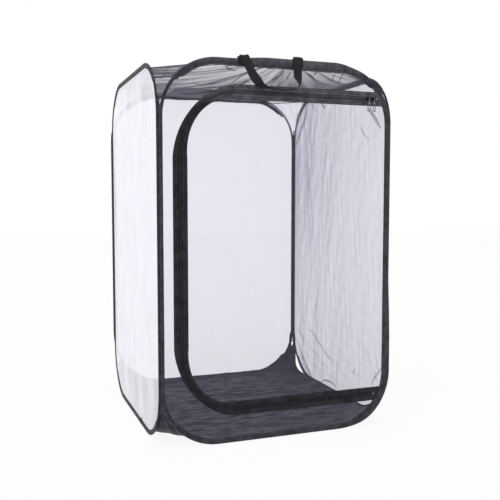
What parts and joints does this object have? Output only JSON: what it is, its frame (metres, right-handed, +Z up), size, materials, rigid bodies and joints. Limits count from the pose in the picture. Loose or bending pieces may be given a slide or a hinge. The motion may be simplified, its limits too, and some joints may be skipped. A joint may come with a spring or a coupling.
{
  "type": "pop-up mesh terrarium",
  "caption": "Tall pop-up mesh cage: sprung rectangular hoops in black tape, sheer white walls, dark floor, zipped front door, webbing handles; folds flat.",
  "frame": {"origin": "middle of the floor's underside, on the surface the cage stands on", "axes": "+Z up, front with the door faces -Y, +X to the right as seen from the front"},
  "size_m": [0.61, 0.6357, 0.9269],
  "materials": {
    "black_tape": "woven polyester binding tape, matt, folded and stitched",
    "white_mesh": "sheer white polyester mesh",
    "black_mesh": "sheer black polyester mesh",
    "floor_cloth": "dark plain-weave polyester cloth",
    "webbing": "black ribbed webbing",
    "zip_coil": "black nylon coil",
    "spring_steel": "plain spring steel",
    "ferrule": "plain steel sleeve",
    "bright_metal": "bright plated metal"
  },
  "bodies": {
    "back_panel": {"back_hoop_wire": "spring_steel", "back_hoop_ferrule": "ferrule", "back_hoop_tape": "black_tape", "back_mesh": "white_mesh", "back_handle_wrap_left": "webbing", "back_handle_wrap_right": "webbing", "top_sheet": "black_mesh", "floor_sheet": "floor_cloth", "top_gusset_back_left": "white_mesh", "top_gusset_back_right": "white_mesh"},
    "left_panel": {"left_hoop_wire": "spring_steel", "left_hoop_ferrule": "ferrule", "left_hoop_tape": "black_tape", "left_mesh": "white_mesh", "top_gusset_front_left": "white_mesh"},
    "right_panel": {"right_hoop_wire": "spring_steel", "right_hoop_ferrule": "ferrule", "right_hoop_tape": "black_tape", "right_mesh": "white_mesh", "top_gusset_front_right": "white_mesh"},
    "front_panel": {"front_hoop_wire": "spring_steel", "front_hoop_ferrule": "ferrule", "front_hoop_tape": "black_tape", "front_mesh": "white_mesh", "front_handle_wrap_left": "webbing", "front_handle_wrap_right": "webbing", "zip_tape_outer": "black_tape", "zip_coil_outer": "zip_coil", "zip_tape_end_top": "black_tape", "zip_coil_end_top": "zip_coil", "zip_tape_end_bottom": "black_tape", "zip_coil_end_bottom": "zip_coil", "zip_stop_top": "bright_metal", "zip_stop_bottom": "bright_metal", "slider_end": "bright_metal"},
    "door": {"door_mesh": "white_mesh", "zip_tape_door": "black_tape", "zip_coil_door": "zip_coil"},
    "slider_open": {"slider_open": "bright_metal"},
    "pull_open": {"pull_open": "bright_metal"},
    "pull_end": {"pull_end": "bright_metal"},
    "front_handle": {"front_handle": "webbing"},
    "back_handle": {"back_handle": "webbing"}
  },
  "joints": [
    {"name": "left_fold", "type": "hinge", "parent": "back_panel", "child": "left_panel", "pos_m": [-0.2994, 0.2994, 0.457], "axis": [0, 0, 1], "range_deg": [-75, 75], "stiffness_Nm_per_rad": 0.5, "deforming": ["top_sheet", "floor_sheet", "top_gusset_back_left"]},
    {"name": "right_fold", "type": "hinge", "parent": "back_panel", "child": "right_panel", "pos_m": [0.2994, 0.2994, 0.457], "axis": [0, 0, 1], "range_deg": [-75, 75], "deforming": ["top_gusset_back_right", "top_gusset_front_right"]},
    {"name": "front_fold", "type": "hinge", "parent": "left_panel", "child": "front_panel", "pos_m": [-0.2994, -0.2994, 0.457], "axis": [0, 0, 1], "range_deg": [-75, 75], "deforming": ["top_gusset_front_left"]},
    {"name": "door_swing", "type": "hinge", "parent": "front_panel", "child": "door", "pos_m": [0.2279, -0.3121, 0.457], "axis": [0, 0, 1], "range_deg": [0, 170]},
    {"name": "slider_travel", "type": "slide", "parent": "front_panel", "child": "slider_open", "axis": [-1, 0, 0], "range_m": [0, 0.385]},
    {"name": "pull_open_swing", "type": "hinge", "parent": "slider_open", "child": "pull_open", "pos_m": [0.23535, -0.3092, 0.837], "axis": [-1, 0, 0], "range_deg": [0, 160]},
    {"name": "pull_end_swing", "type": "hinge", "parent": "front_panel", "child": "pull_end", "pos_m": [0.24985, -0.3092, 0.837], "axis": [-1, 0, 0], "range_deg": [0, 160]},
    {"name": "front_handle_swing", "type": "hinge", "parent": "front_panel", "child": "front_handle", "pos_m": [-0.0254, -0.308, 0.90838], "axis": [-1, 0, 0], "range_deg": [0, 175]},
    {"name": "back_handle_swing", "type": "hinge", "parent": "back_panel", "child": "back_handle", "pos_m": [-0.046, 0.3022, 0.9167], "axis": [-1, 0, 0], "range_deg": [0, 180]}
  ],
  "couplings": [
    {"joint": "right_fold", "follows": "left_fold", "ratio": 1},
    {"joint": "front_fold", "follows": "left_fold", "ratio": -1}
  ]
}
